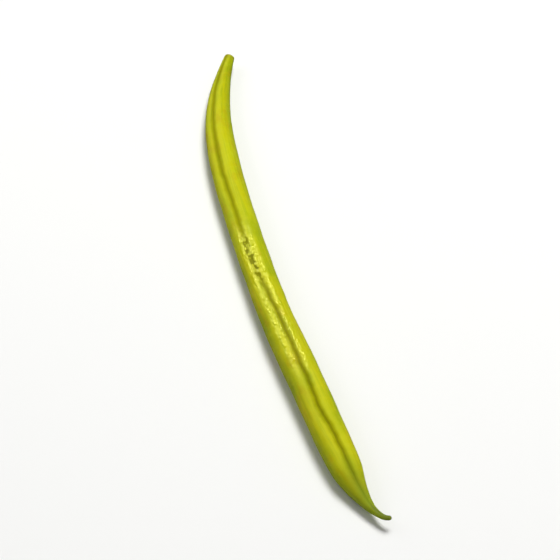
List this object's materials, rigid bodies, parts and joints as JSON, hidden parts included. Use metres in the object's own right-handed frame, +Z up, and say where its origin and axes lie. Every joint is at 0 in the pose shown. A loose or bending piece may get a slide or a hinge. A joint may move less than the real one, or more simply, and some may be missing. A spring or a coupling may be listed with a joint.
{
  "type": "green bean",
  "caption": "Whole fresh green bean pod: slim, slightly bowed, with a snapped blunt neck, a fine seam groove along the top and a tapering beak that ends in a curled tail.",
  "frame": {"origin": "on the surface the bean lies on, under the middle of its bounding box", "axes": "+X along the bean from the snapped neck to the beak, +Y towards the side that the tail curls to and away from the bow, +Z up through the seam"},
  "size_m": [0.1378, 0.0166, 0.0075],
  "materials": {
    "pod_skin": "fresh waxy pod skin, satin with a broken gloss, bright yellow-green, darker green at the beak"
  },
  "bodies": {
    "root": {"pod": "pod_skin"}
  },
  "joints": []
}
